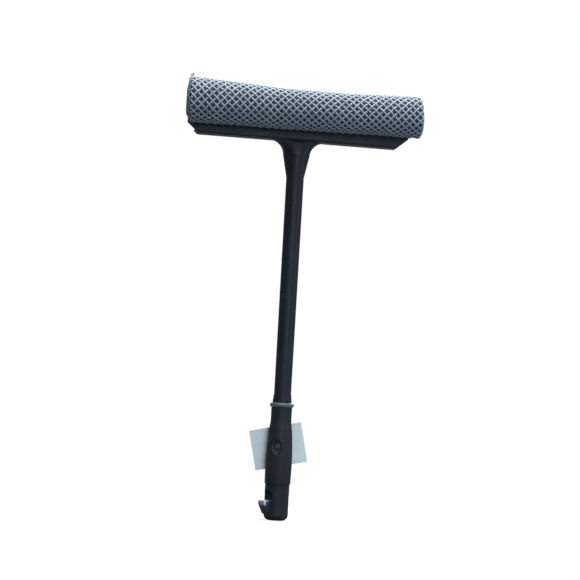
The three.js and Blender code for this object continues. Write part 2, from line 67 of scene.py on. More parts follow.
# %% Place the camera
view_turn = math.radians(-9)
view_lift = math.radians(-3.4)
view_roll = math.radians(3.3)
view_distance = 1.5
view_aim = Vector((0.45, -5, 194.2)) * mm
view_width = 490.2 * mm


def placed(name, data):
    """A new object in the scene."""
    made = bpy.data.objects.new(name, data)
    bpy.context.scene.collection.objects.link(made)
    return made


def aimed(name, data, place, way, roll=0):
    """A camera or a lamp at a place, looking a way and rolled round that way."""
    stand = placed(name, data)
    stand.location = place
    stand.rotation_mode = "QUATERNION"
    stand.rotation_quaternion = way.to_track_quat("-Z", "Y") @ Quaternion((0, 0, 1), roll)
    return stand


camera = bpy.data.cameras.new("camera")
camera.lens = camera.sensor_width * view_distance / view_width
level = math.cos(view_lift)
forward = Vector((-math.sin(view_turn) * level, math.cos(view_turn) * level, -math.sin(view_lift)))
camera_stand = aimed("camera", camera, view_aim - forward * view_distance, forward, view_roll)
bpy.context.scene.camera = camera_stand
print("lens in mm:", round(camera.lens, 1))
print("camera height in mm:", round(camera_stand.location.z / mm))

# %% [markdown]
# ## Writing shaders as sums
# A shader can be drawn link by link, but it is easier to read as arithmetic. Signal wraps one output
# socket, and adding or multiplying signals and numbers puts Math nodes behind the sum.

# %% Signals
class Signal:
    """One output socket. Arithmetic on it adds Math nodes to its tree."""

    def __init__(self, finish, socket):
        self.finish = finish
        self.socket = socket

    def math(self, operation, *others):
        """A Math node whose first term is this signal."""
        return self.finish.node("Math", {"operation": operation}, dict(enumerate([self, *others])))

    def __add__(self, other):
        return self.math("ADD", other)

    def __sub__(self, other):
        return self.math("SUBTRACT", other)

    def __rsub__(self, other):
        return self.finish.node("Math", {"operation": "SUBTRACT"}, {0: other, 1: self})

    def __mul__(self, other):
        return self.math("MULTIPLY", other)

    def __abs__(self):
        return self.math("ABSOLUTE")

    __radd__ = __add__
    __rmul__ = __mul__

    def most(self, limit):
        """The signal, but never more than a limit."""
        return self.math("MINIMUM", limit)

    def fade(self, low, high):
        """0 where the signal is at low, 1 where it is at high, and a gentle slope between."""
        ends = {"Value": self, "From Min": low, "From Max": high}
        return self.finish.node("MapRange", {"interpolation_type": "SMOOTHSTEP"}, ends)


# %% [markdown]
# Finish wraps a whole node tree. Its node method makes any node: the type, its settings first, and
# then a number or a signal for each socket. A type is short for a shader node unless it is written
# out in full. The methods after it are short ways to write the nodes that come up most. A Mix node
# has sockets of the same names for numbers, vectors and colours, so its colours go by their place.

# %% Node trees
mix_colours = (6, 7)
mix_result = 2
gives_number = ("LENGTH", "DISTANCE", "DOT_PRODUCT")


class Finish:
    """The node tree of a material or of the world."""

    def __init__(self, owner):
        owner.use_nodes = True
        self.owner = owner
        self.tree = owner.node_tree

    def node(self, kind, settings=None, inputs=None, output=0):
        made = self.tree.nodes.new(kind if "Node" in kind else "ShaderNode" + kind)
        for name, value in (settings or {}).items():
            setattr(made, name, value)
        for name, value in (inputs or {}).items():
            self.plug(value, made.inputs[name])
        return None if output is None else Signal(self, made.outputs[output])

    def plug(self, value, socket):
        if isinstance(value, Signal):
            self.tree.links.new(value.socket, socket)
        else:
            socket.default_value = value

    def mix(self, factor, first, second):
        """Two colours mixed, each a triple or a signal."""
        pair = [value if isinstance(value, Signal) else (*value, 1) for value in (first, second)]
        inputs = {"Factor": factor, **dict(zip(mix_colours, pair))}
        return self.node("Mix", {"data_type": "RGBA"}, inputs, output=mix_result)

    def layer(self, colour, over, mask, share):
        """A colour with another laid over it, up to a share where the mask is full."""
        return self.mix(mask * share, colour, over)

    def vector(self, operation, *terms):
        """Vector Math. A length, a distance or a dot product comes out as a number."""
        output = "Value" if operation in gives_number else "Vector"
        return self.node("VectorMath", {"operation": operation}, dict(enumerate(terms)), output)

    def part(self, vector, axis):
        """One of a vector's three numbers."""
        return self.node("SeparateXYZ", None, {0: vector}, output=axis)


# %% [markdown]
# Surface is the tree of one piece's material. Patterns could come from pictures, but those need
# unwrapped pieces and blur close up. Noise in the piece's own coordinates needs neither. Numbers
# that are the same all over go straight on the shader, and dress plugs in what varies.

# %% Surfaces
class Surface(Finish):
    """The finish of a piece: one shader, and patterns that follow the piece's own coordinates."""

    def __init__(self, name, **constants):
        super().__init__(bpy.data.materials.new(name))
        self.shader = self.tree.nodes["Principled BSDF"]
        for socket, value in constants.items():
            self.shader.inputs[socket.replace("_", " ")].default_value = value
        self.place = self.node("TexCoord", output="Object")

    def noise(self, scale, detail=3, roughness=0.55):
        """Clouds from 0 to 1. The scale is how many in a metre: one number, or one for each axis."""
        place = self.place
        if isinstance(scale, tuple):
            place = self.node("Mapping", None, {"Vector": place, "Scale": scale})
            scale = 1
        inputs = {"Vector": place, "Scale": scale, "Detail": detail, "Roughness": roughness}
        return self.node("TexNoise", None, inputs)

    def dress(self, colour, roughness, bumps, depth):
        """The finished material. A bump of 1 is as high as the depth, in metres."""
        bump = self.node("Bump", None, {"Strength": 1, "Distance": depth, "Height": bumps})
        for socket, value in {"Base Color": colour, "Roughness": roughness, "Normal": bump}.items():
            self.plug(value, self.shader.inputs[socket])
        return self.owner


# %% [markdown]
# ## White ground
# The photograph has a clean white ground. Strong lamps on a pale floor would give it, but they would
# light the tool as well. Here the floor and the room are white to the camera, and by a share in
# reflections, yet throw little light on the tool, so that undersides stay dark. Round the tool the
# floor keeps part of its own shading, and with that the shadow. Further off it fades to plain white.

# %% Floor
white = (1, 1, 1)
mirror_share = 0.12
floor_bounce = (0.08, 0.09, 0.10)
floor_glow = 0.72
floor_half = 30.0
shadow_reach = 0.16
shadow_fade = 0.42


def seen_directly(finish):
    """1 for what the camera sees, a share in reflections, 0 for the light that falls on the tool."""
    camera_ray = finish.node("LightPath", output="Is Camera Ray")
    through = finish.node("LightPath", output="Is Transmission Ray")
    mirrored = finish.node("LightPath", output="Is Glossy Ray")
    return (camera_ray + through + mirror_share * mirrored).most(1)


ground = Finish(bpy.data.materials.new("white_floor"))
direct = seen_directly(ground)
floor_colour = ground.mix(direct, floor_bounce, white)
floor_matt = ground.node("BsdfDiffuse", None, {"Color": floor_colour})
floor_light = ground.node("Emission", None, {"Color": (*white, 1), "Strength": 1})
away = ground.vector("LENGTH", ground.node("TexCoord", output="Object"))
glow = floor_glow + (1 - floor_glow) * away.fade(shadow_reach, shadow_fade)
floor_mix = ground.node("MixShader", None, {0: direct * glow, 1: floor_matt, 2: floor_light})
ground.plug(floor_mix, ground.tree.nodes["Material Output"].inputs["Surface"])

floor_mesh = bpy.data.meshes.new("floor")
corners = [(x * floor_half, y * floor_half, 0) for x, y in ((-1, -1), (1, -1), (1, 1), (-1, 1))]
floor_mesh.from_pydata(corners, [], [(0, 1, 2, 3)])
floor_mesh.materials.append(ground.owner)
floor = placed("floor", floor_mesh)
print("floor of", 2 * floor_half, "metres, shadow kept within", shadow_reach)

# %% Room
room_light = (0.13, 0.175, 0.23)
room = Finish(bpy.data.worlds.new("room"))
bpy.context.scene.world = room.owner
room_colour = room.mix(seen_directly(room), room_light, white)
room.plug(room_colour, room.tree.nodes["Background"].inputs["Color"])
print("room light:", room_light)

# %% [markdown]
# ## Soft light
# The light comes from above: the sponge is brightest along its top, and the bar under it is dark. A
# single lamp could do that, but then the handle goes black. So a wide soft lamp hangs overhead, a
# weaker one opens the front from above the camera, a very weak one lifts the shaft's right side,
# and one behind serves the other views. The Standard view transform keeps colours as written.

# %% Lamps
head_place = (0, -0.02, 0.34)
handle_place = (0, 0, 0.2)
grip_place = (0, 0, 0.18)
cool = (0.74, 0.88, 1.0)
warm = (1.0, 0.98, 0.95)


def soft_lamp(name, place, aim, width, power, colour):
    """A square area lamp at place, facing aim."""
    lamp = bpy.data.lights.new(name, "AREA")
    lamp.size = width
    lamp.energy = power
    lamp.color = colour
    aimed(name, lamp, place, Vector(aim) - Vector(place))
    print(name, "of", power, "watts at", place)


soft_lamp("overhead_lamp", place=(0.1, -0.15, 1.55), aim=head_place, width=0.8, power=36, colour=warm)
soft_lamp("front_lamp", place=(0.12, -1.5, 0.6), aim=grip_place, width=1.0, power=9.8, colour=cool)
soft_lamp("side_lamp", place=(1.3, -0.5, 0.5), aim=handle_place, width=0.7, power=3.6, colour=cool)
soft_lamp("back_lamp", place=(0.7, 1.5, 1.2), aim=handle_place, width=0.8, power=26, colour=cool)
bpy.context.scene.view_settings.view_transform = "Standard"

# %% [markdown]
# ## Black moulded plastic
# The head, shaft, grip and cap are one satin black plastic. Close up such a moulding is never one
# black: the tool steel leaves a fine spark-eroded grain and a thin parting line along both sides,
# handling leaves scuffs that run along the handle, edges rub paler, and dust settles on whatever
# faces up. Each of those is a mask, and the masks change the colour and the roughness together.
# Edges are found by comparing the true normal with one that Cycles rounds off.

# %% Wear that finishes share
edge_samples = 6
edge_turn = (0.01, 0.22)
dust_slope = (0.55, 1.0)
# This pale colour is dust on faces that look up, and painted light in the hang hole and the finger dimple.
dust_and_painted_light = (0.14, 0.155, 0.17)


def rubbed_edges(finish, reach):
    """1 on convex and concave edges within reach, 0 on open faces."""
    rounded = finish.node("Bevel", {"samples": edge_samples}, {"Radius": reach})
    normal = finish.node("NewGeometry", output="Normal")
    return (1 - finish.vector("DOT_PRODUCT", rounded, normal)).fade(*edge_turn)


def facing_up(finish, low, high):
    """0 on faces whose normal rises by less than low, 1 on those past high."""
    normal = finish.node("NewGeometry", output="Normal")
    return finish.part(normal, "Z").fade(low, high)


def settled_dust(finish):
    """Dust on faces that look up, in thin uneven patches."""
    patches = finish.noise(160, detail=6, roughness=0.7).fade(0.35, 0.75)
    return facing_up(finish, *dust_slope) * patches


# %% [markdown]
# Three places on the handle have marks of their own. The lip under the hang hole is nearly white on
# top: partly rubbed by the nail that the tool hangs on, and partly a painted highlight on its upper
# nose and on the ledge that faces up. The walls of that hole get a pale layer of painted light that
# lifts their deep shade, and the finger dimple round the button gets a faint one that lifts its shade.
# Such marks could be painted on by hand. Here they are masks round places of the CAD model, so they
# sit where it has hole and button.

# %% Marks on the cap
# The hook's pale colour: rubbed wear, and a painted highlight where the hook faces the light.
pale_wear_and_highlight = (0.66, 0.71, 0.74)
cap_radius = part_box("hang_cap")[1].x
hang_hole = frame["record"]["physics"]["openings"][0]["box_m"]
hook_top = hang_hole[0][2]
hook_turn = math.radians(67)
hook_way = (-math.sin(hook_turn), -math.cos(hook_turn), 0)
hook_reach = 15.2 * mm
highlit_wear_back = 3.2 * mm
highlit_wear_below = 5 * mm
highlit_wear_full_below = 2.5 * mm
highlit_wear_above = 1.5 * mm
highlit_wear_wander = 1.5 * mm
highlit_wear_slope = (0.5, 0.95)
highlit_wear_least = 0.65
ledge_share = 0.6
# How far the painted light on the hole's walls reaches.
hole_light_full_under = 1.5 * mm
hole_light_under = 0.5 * mm
hole_light_below = 1 * mm


def worn_and_highlit_hook(finish):
    """Wear and painted highlight: 1 on the hook's upper nose, thinning down its face and back along the floor of
    the hole.
    """
    height = finish.part(finish.place, "Z")
    outward = finish.vector("DOT_PRODUCT", finish.place, hook_way)
    uneven = height + highlit_wear_wander * finish.noise(260, detail=4)
    lower = uneven.fade(hook_top - highlit_wear_below, hook_top - highlit_wear_full_below)
    upper = 1 - height.fade(hook_top, hook_top + highlit_wear_above)
    nose = outward.fade(hook_reach - highlit_wear_back, hook_reach)
    # The ledge that faces up gets a painted highlight.
    ledge = ledge_share * facing_up(finish, *highlit_wear_slope) * outward.fade(0, cap_radius)
    speckle = finish.noise(700, detail=5, roughness=0.65).fade(0.3, 0.55)
    return lower * upper * (nose + ledge).most(1) * (highlit_wear_least + (1 - highlit_wear_least) * speckle)


def hole_painted_light(finish):
    """1 on the walls of the hang hole, where a pale layer of painted light lifts their deep shade."""
    from_axis = finish.vector("LENGTH", finish.vector("MULTIPLY", finish.place, (1, 1, 0)))
    inner = 1 - from_axis.fade(cap_radius - hole_light_full_under, cap_radius - hole_light_under)
    return inner * finish.part(finish.place, "Z").fade(hook_top - hole_light_below, hook_top)


def cap_wear_and_painted_light(finish, colour):
    """The cap's own marks over its colour: wear and painted highlight on the hook, painted light in the hole."""
    # Painted light: the hole's walls are made paler against their shade.
    colour = finish.layer(colour, dust_and_painted_light, hole_painted_light(finish), share=0.32)
    # Rubbed wear and a painted highlight on the hook.
    return finish.layer(colour, pale_wear_and_highlight, worn_and_highlit_hook(finish), share=0.9)


print("floor of the hang hole in mm:", round(hook_top / mm, 1))

# %% Mark on the grip
button_low, button_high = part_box("lock_button")
button_place = (button_low + button_high) / 2
press_way = frame["joints"][0]["axis"]
dimple_reach = 5.5 * mm
dimple_full = 0.6 * dimple_reach
front_of_grip = (-2 * mm, 0)


def grip_dimple_painted_light(finish, colour):
    """The grip's own mark: a faint pale layer of painted light that lifts the shade in the finger dimple."""
    offset = finish.vector("SUBTRACT", finish.place, button_place)
    from_button = finish.vector("LENGTH", finish.vector("CROSS_PRODUCT", offset, press_way))
    near = 1 - from_button.fade(dimple_full, dimple_reach)
    front = 1 - finish.part(finish.place, "Y").fade(*front_of_grip)
    # Painted light: the front of the dimple is made a little paler against its shade.
    return finish.layer(colour, dust_and_painted_light, near * front, share=0.025)


print("button in mm:", [round(x / mm, 1) for x in button_place])

# %% Black plastic finishes
black = (0.0070, 0.0112, 0.0155)
black_lit = (0.0130, 0.0185, 0.0245)
moulding_dark = (0.0058, 0.0093, 0.0130)
moulding_lit = (0.0105, 0.0150, 0.0200)
# The button's paler tones are partly its plastic and partly a painted highlight on its dome.
button_dark = (0.045, 0.055, 0.066)
button_lit = (0.065, 0.077, 0.090)
rubbed = (0.045, 0.054, 0.063)
parting_edge = (0.06 * mm, 0.3 * mm)


def black_plastic(name, smoothest, dark=black, lit=black_lit, marks=None):
    """Satin black plastic from its smoothest roughness up, with marks and painted light that one piece has alone.
    """
    finish = Surface(name, Specular_IOR_Level=0.3)
    cloud = finish.noise(42, detail=5).fade(0.3, 0.7)
    grain = finish.noise(2400, detail=2)
    scuff = finish.noise((1500, 1500, 45), detail=4, roughness=0.65).fade(0.62, 0.8)
    edge = rubbed_edges(finish, 0.7 * mm) * finish.noise(300, detail=4).fade(0.3, 0.7)
    dusty = settled_dust(finish)
    parting = 1 - abs(finish.part(finish.place, "Y")).fade(*parting_edge)
    colour = finish.mix(cloud, dark, lit)
    colour = finish.layer(colour, rubbed, scuff, share=0.25)
    colour = finish.layer(colour, rubbed, edge, share=0.55)
    colour = finish.layer(colour, dust_and_painted_light, dusty, share=0.4)
    if marks:
        colour = marks(finish, colour)
    roughness = smoothest + 0.1 * cloud + 0.08 * grain + 0.12 * scuff - 0.08 * edge + 0.25 * dusty
    return finish.dress(colour, roughness, bumps=grain + 0.6 * scuff + 3 * parting, depth=0.03 * mm)


moulding_black = black_plastic("moulding_black", smoothest=0.40, dark=moulding_dark, lit=moulding_lit)
grip_black = black_plastic("grip_black", smoothest=0.44, marks=grip_dimple_painted_light)
cap_black = black_plastic("cap_black", smoothest=0.44, marks=cap_wear_and_painted_light)
button_black = black_plastic("button_black", smoothest=0.24, dark=button_dark, lit=button_lit)
print("black finishes:", moulding_black.name, grip_black.name, cap_black.name, button_black.name)

# %% [markdown]
# ## Rounding the moulded edges
# No moulding has knife edges, and this CAD export has nothing else: it is a soup of loose triangles.
# Its edges could be rounded in the CAD model, at the price of many more faces there. Here the pieces
# keep their meshes and modifiers do it: they weld the triangles, join flat ones into whole faces,
# roll a small radius along the outward edges, and shade curves smoothly while flats stay flat. A
# bevel folds over itself where it meets an edge shorter than its own width, so edges beside such a
# short one are left as they are. Three of the steps are geometry nodes, written like the shaders.

# %% Steps of geometry nodes
weld_distance = 0.01 * mm
sharp_angle = math.radians(56)


class MeshSteps(Finish):
    """A geometry node group: a mesh goes in, passes one step after another, and comes out."""

    def __init__(self, name):
        self.tree = bpy.data.node_groups.new(name, "GeometryNodeTree")
        for way in ("INPUT", "OUTPUT"):
            self.tree.interface.new_socket("Mesh", in_out=way, socket_type="NodeSocketGeometry")
        self.mesh = self.node("NodeGroupInput")

    def step(self, kind, settings=None, inputs=None):
        self.mesh = self.node("GeometryNode" + kind, settings, {0: self.mesh, **(inputs or {})})

    def whole(self):
        self.node("NodeGroupOutput", None, {0: self.mesh}, output=None)
        return self.tree


def weld_triangles():
    """Joins the loose triangles and drops the normals that came with them."""
    steps = MeshSteps("weld_triangles")
    steps.step("MergeByDistance", None, {"Distance": weld_distance})
    steps.step("RemoveAttribute", None, {"Name": "custom_normal"})
    return steps.whole()


def choose_edges(shortest):
    """Marks sharp outward edges for the bevel, unless an edge under the shortest length touches them."""
    steps = MeshSteps("choose_edges")
    ends = [steps.node("GeometryNodeInputMeshEdgeVertices", output=f"Position {end}") for end in (1, 2)]
    short = steps.vector("DISTANCE", *ends).math("LESS_THAN", shortest)
    for domain in ("EDGE", "POINT", "EDGE"):
        short = steps.node("GeometryNodeFieldOnDomain", {"domain": domain}, {0: short})
    angle = steps.node("GeometryNodeInputMeshEdgeAngle", output="Signed Angle")
    chosen = angle.math("GREATER_THAN", sharp_angle) * (1 - short.math("CEIL"))
    steps.step("StoreNamedAttribute", {"domain": "EDGE"}, {"Name": "bevel_weight_edge", "Value": chosen})
    return steps.whole()


def shade_by_angle(crease):
    """Smooth shading that stops at edges past an angle."""
    steps = MeshSteps("shade_by_angle")
    steps.step("SetShadeSmooth")
    steep = steps.node("GeometryNodeInputMeshEdgeAngle").math("GREATER_THAN", crease)
    steps.step("SetShadeSmooth", {"domain": "EDGE"}, {"Selection": steep, "Shade Smooth": False})
    return steps.whole()


# %% [markdown]
# The steps go on a piece as a stack of modifiers. The dimple's rim in the grip is a soft corner, so
# the grip keeps creases from a smaller angle on. Backing plate, button and ring have a clearance in
# the CAD model that would show as a slit of light or a black line. They can't be moved, so a
# Displace modifier swells them by a fraction of a millimetre, until they touch what they sit on.

# %% Roll the black edges
flat_angle = math.radians(0.8)
crease_angle = math.radians(38)
dimple_crease_angle = math.radians(24)
room_for_radius = 3
roll_segments = 3
slivers_per_radius = 10
flat_face_weight = 80


def roll_edges(node, finish, radius, crease=crease_angle):
    """Gives a CAD piece its finish, rolls its edges to a radius, and keeps creases past an angle."""
    piece = frame["nodes"][node]
    piece.material_slots[0].material = finish
    piece.modifiers.new("weld", "NODES").node_group = weld_triangles()
    flats = piece.modifiers.new("flats", "DECIMATE")
    flats.decimate_type = "DISSOLVE"
    flats.angle_limit = flat_angle
    piece.modifiers.new("choose", "NODES").node_group = choose_edges(room_for_radius * radius)
    edges = piece.modifiers.new("edges", "BEVEL")
    edges.width = radius
    edges.segments = roll_segments
    edges.limit_method = "WEIGHT"
    edges.use_clamp_overlap = False
    piece.modifiers.new("slivers", "WELD").merge_threshold = radius / slivers_per_radius
    piece.modifiers.new("shading", "NODES").node_group = shade_by_angle(crease)
    even = piece.modifiers.new("even_normals", "WEIGHTED_NORMAL")
    even.keep_sharp = True
    even.weight = flat_face_weight
    print(node, "rolled to", round(radius / mm, 2), "mm in", finish.name)


def seat(node, swell):
    """Swells a CAD piece until it touches what it sits on."""
    tight = frame["nodes"][node].modifiers.new("seat", "DISPLACE")
    tight.strength = swell
    tight.mid_level = 0


roll_edges("head_frame", moulding_black, radius=0.33 * mm)
roll_edges("grip_shell", grip_black, radius=0.33 * mm, crease=dimple_crease_angle)
roll_edges("hang_cap", cap_black, radius=0.25 * mm)
roll_edges("sponge_backing", moulding_black, radius=0.3 * mm)
roll_edges("lock_button", button_black, radius=0.2 * mm)
seat("sponge_backing", swell=0.5 * mm)
seat("lock_button", swell=0.2 * mm)

# %% [markdown]
# ## The light ring
# Between shaft and grip sits a ring, the palest hard piece of the tool. Its grey is partly grey
# plastic and partly a painted highlight for the light that its face catches from above. It is
# smoother than the black moulding, so it picks up a soft highlight too, with faint turned lines round
# it and grime in patches. The lines could be cut into the mesh, but at this size bumps are enough.

# %% Grey ring
# The ring's grey tones are partly its plastic and partly a painted highlight.
ring_grey = (0.085, 0.113, 0.145)
ring_pale_and_highlight = (0.130, 0.165, 0.200)
ring_grime = (0.035, 0.042, 0.05)


def grey_plastic_and_highlight():
    """The ring's material: grey plastic, with a painted highlight in its colour."""
    finish = Surface("ring_grey")
    cloud = finish.noise(140, detail=4)
    lines = finish.noise((60, 60, 5200), detail=2)
    edge = rubbed_edges(finish, 0.5 * mm)
    grime = finish.noise(420, detail=5).fade(0.55, 0.75)
    colour = finish.mix(cloud, ring_grey, ring_pale_and_highlight)
    colour = finish.layer(colour, ring_pale_and_highlight, edge, share=0.4)
    colour = finish.layer(colour, ring_grime, grime, share=0.35)
    return finish.dress(colour, 0.34 + 0.14 * cloud + 0.2 * grime, bumps=lines, depth=0.02 * mm)


roll_edges("collar_ring", grey_plastic_and_highlight(), radius=0.3 * mm)
seat("collar_ring", swell=0.3 * mm)

# %% [markdown]
# ## Rubber
# The blade is extruded rubber, so fine die lines run along its length, and old rubber grows a thin
# grey bloom in patches and along its edges. It stays matt. Noise that is stretched along the blade
# gives the lines, which would take very many faces to model.

# %% Rubber blade
rubber_black = (0.011, 0.012, 0.0135)
rubber_bloom = (0.045, 0.047, 0.05)


def blade_rubber():
    """The blade's material."""
    finish = Surface("blade_rubber", Specular_IOR_Level=0.35)
    bloom = finish.noise(70, detail=6, roughness=0.65).fade(0.45, 0.8)
    die_lines = finish.noise((14, 2600, 2600))
    edge = rubbed_edges(finish, 0.4 * mm)
    colour = finish.layer(rubber_black, rubber_bloom, bloom, share=0.6)
    colour = finish.layer(colour, rubber_bloom, edge, share=0.3)
    return finish.dress(colour, 0.52 + 0.2 * bloom + 0.08 * die_lines, bumps=die_lines, depth=0.025 * mm)


roll_edges("rubber_blade", blade_rubber(), radius=0.13 * mm)

# %% [markdown]
# ## Steel
# Four zinc-plated screws hold the sponge's backing plate, and a spring leaf pushes the button out.
# One metal of one colour would look new and flat, but plating clouds, and dirt sits on it in spots,
# so both are masks over the bright zinc.

# %% Screws and spring
screw_count = 4
zinc = (0.50, 0.51, 0.53)
zinc_dull = (0.30, 0.305, 0.315)
steel_dirt = (0.06, 0.058, 0.055)


def plated_steel():
    """The material of screws and spring."""
    finish = Surface("plated_steel", Metallic=1.0)
    cloud = finish.noise(500, detail=5).fade(0.3, 0.7)
    turned = finish.noise((900, 4000, 900), detail=2)
    dirt = finish.noise(900, detail=4).fade(0.58, 0.72)
    colour = finish.mix(cloud, zinc, zinc_dull)
    colour = finish.layer(colour, steel_dirt, dirt, share=0.5)
    return finish.dress(colour, 0.26 + 0.16 * cloud + 0.25 * dirt, bumps=turned, depth=0.01 * mm)


steel = plated_steel()
for number in range(1, screw_count + 1):
    roll_edges(f"backing_screw_{number}", steel, radius=0.15 * mm)
roll_edges("catch_spring", steel, radius=0.1 * mm)

# %% [markdown]
# ## The bare card
# A card label is stuck round the back of the grip, and its two ends stand out to the sides. It is
# left bare. Card shows soft fibres, a slight mottle, grey stains in patches and paler rubbed edges.
# Its free ends are painted whiter, the left one over more of its width: painted light, because the
# grip shades the card next to it. A plain white would look like plastic, so each of these is a mask.

# %% Card
card_blue = (0.78, 0.845, 0.84)
card_pale = (0.87, 0.91, 0.90)
card_grey = (0.58, 0.64, 0.67)
# Painted light on the free ends, which the grip shades less than the card next to it.
card_white = (0.94, 0.945, 0.94)
painted_end_light_left = (-10 * mm, -18 * mm)
painted_end_light_right = (15 * mm, 22 * mm)


def bare_card():
    """The card's material, with painted light on its free ends."""
    finish = Surface("bare_card", Specular_IOR_Level=0.2)
    mottle = finish.noise(150, detail=6, roughness=0.7).fade(0.3, 0.7)
    fibre = finish.noise((900, 900, 3600), detail=4, roughness=0.7)
    stain = finish.noise(60, detail=4).fade(0.58, 0.8)
    edge = rubbed_edges(finish, 0.5 * mm)
    side = finish.part(finish.place, "X")
    # Painted light: whiter towards the free ends, away from the grip's shade.
    painted_end_light = (side.fade(*painted_end_light_left) + side.fade(*painted_end_light_right)) * (0.6 + 0.4 * mottle)
    colour = finish.mix(mottle, card_blue, card_pale)
    colour = finish.layer(colour, card_grey, stain, share=0.4)
    colour = finish.layer(colour, card_pale, edge, share=0.4)
    colour = finish.layer(colour, card_white, painted_end_light, share=0.8)
    return finish.dress(colour, 0.6 + 0.2 * fibre, bumps=fibre, depth=0.03 * mm)


roll_edges("blank_label", bare_card(), radius=0.08 * mm)

# %% [markdown]
# ## The sponge's section
# Cut across, the sponge is a full round crown on a narrower foot that sits in the tray. Foam and
# net share this section, so it is one table: points at even steps from the tray under the crown,
# over the front, and back into the tray on top, each with the direction that points out of the
# foam. An ellipse is too slim for the crown and a box too square, so it is a superellipse, which
# lies between the two.

# %% Lines of points
def unit(rows):
    """The same directions, each of length 1."""
    return rows / np.linalg.norm(rows, axis=1, keepdims=True)


def run_length(line):
    """How far along a line each of its points lies."""
    return np.concatenate([[0], np.cumsum(np.linalg.norm(np.diff(line, axis=0), axis=1))])


def read_table(places, along, rows):
    """Rows of a table at any places, where its own rows lie along."""
    return np.column_stack([np.interp(places, along, column) for column in rows.T])


def evenly(line, step):
    """The same line with points at even steps, and its length."""
    along = run_length(line)
    places = np.linspace(0, along[-1], int(round(along[-1] / step)) + 1)
    return read_table(places, along, line), along[-1]


# %% Section of foam and net
pad_low, pad_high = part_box("sponge_pad")
pad_middle = (pad_low + pad_high) / 2
pad_half_length = (pad_high.x - pad_low.x) / 2
pad_half_height = (pad_high.z - pad_low.z) / 2
crown_depth = 22.6 * mm
crown_foot = pad_low.y + crown_depth
crown_fullness = 2.5
crown_points = 2001
foot_half_height = 12.5 * mm
section_step = 0.1 * mm
corner_window = 15


def crown_line():
    """The crown from its lower foot over the front to its upper foot, as rows of (y, z)."""
    turn = np.linspace(-math.pi / 2, math.pi / 2, crown_points)
    power = 2 / crown_fullness
    depth = crown_depth * np.abs(np.cos(turn)) ** power
    rise = pad_half_height * np.sign(np.sin(turn)) * np.abs(np.sin(turn)) ** power
    return np.column_stack([crown_foot - depth, pad_middle.z + rise])


def out_of_foam(line):
    """Unit vectors that point out of the foam, averaged so that corners turn gradually."""
    way = np.gradient(line, axis=0)
    normal = unit(np.column_stack([-way[:, 1], way[:, 0]]))
    margin = corner_window // 2
    padded = np.pad(normal, ((margin, margin), (0, 0)), mode="edge")
    window = np.ones(corner_window) / corner_window
    return unit(np.column_stack([np.convolve(column, window, mode="valid") for column in padded.T]))


lower_foot = [(y, pad_middle.z - foot_half_height) for y in (pad_high.y, crown_foot)]
upper_foot = [(y, 2 * pad_middle.z - z) for y, z in reversed(lower_foot)]
wrap_line, wrap_length = evenly(np.vstack([lower_foot, crown_line(), upper_foot]), section_step)
wrap_outward = out_of_foam(wrap_line)
wrap_places = np.linspace(-wrap_length / 2, wrap_length / 2, len(wrap_line))
crown_length = evenly(crown_line(), section_step)[1]
print("round the crown in mm:", round(crown_length / mm, 1), "with the hems:", round(wrap_length / mm, 1))

# %% [markdown]
# ## How foam and net sit together
# The net pulls tight, so foam swells through each diamond and is pressed in under each strand. A
# cloth simulation could find that, but the pattern is regular enough for a formula. Both families of
# strands are whole numbers of two counters that run along the diagonals, so a product of sines of
# those counters is highest in the middle of a diamond and zero under a strand. At its ends the
# sponge has a rounded rim, and inside the rim the cut foam bulges out a little.

# %% Places on the soft surface
diamond_width = 6.4 * mm
diamond_height = 6.4 * mm
end_room = 3.0 * mm
soft_half = pad_half_length - end_room
end_round_length = 3 * mm
end_round_drop = 1.0 * mm
end_bulge = 1.6 * mm
end_bulge_reach = 11 * mm
heart_depth = 9 * mm
end_heart = np.array([crown_foot - heart_depth, pad_middle.z])
end_rim = wrap_line - wrap_outward * end_round_drop
rim_stride = 5


def ramp(value, span):
    """A share that runs from 0 to 1 while a value runs from 0 to a span."""
    return np.clip(value / span, 0, 1)


def eased(share):
    """The same share with a gentle start and end."""
    return share * share * (3 - 2 * share)


def counters(along, around):
    """Two diagonal counters: a strand lies wherever one of them is a whole number."""
    columns = along / diamond_width
    rows = around / diamond_height
    return columns + rows, columns - rows


def end_turn(along):
    """0 along the sponge and up to 1 over the rounded rims of its ends."""
    return ramp(np.abs(along) - soft_half + end_round_length, end_round_length)


def end_drop(along):
    """How far the rounded rims draw in, at a distance along from the middle."""
    return end_round_drop * (1 - np.sqrt(1 - end_turn(along) ** 2))


def end_swell(section):
    """How far the cut ends bulge at places of the section: more, the further in from their rim."""
    inset = np.linalg.norm(section[:, None] - end_rim[None, ::rim_stride], axis=2).min(axis=1)
    rise = ramp(inset, end_bulge_reach)
    return end_bulge * rise * (2 - rise)


def soft_points(along, around, lift):
    """Points on the foam's skin, lifted along its outward direction, before it settles."""
    normal = read_table(around, wrap_places, wrap_outward)
    place = read_table(around, wrap_places, wrap_line) + normal * lift[:, None]
    return np.column_stack([pad_middle.x + along, place]), normal


print("diamonds along the sponge:", round(2 * soft_half / diamond_width, 1))

# %% [markdown]
# The whole sponge is also a soft thing that was squeezed into its net: fuller at its left end,
# flatter at its right, sagging between them, pushed a little to the right, and drawn in at its upper
# left corner, where the net's cord is tied. A lattice modifier could bend it, but one function that
# moves foam and net alike keeps them in contact.

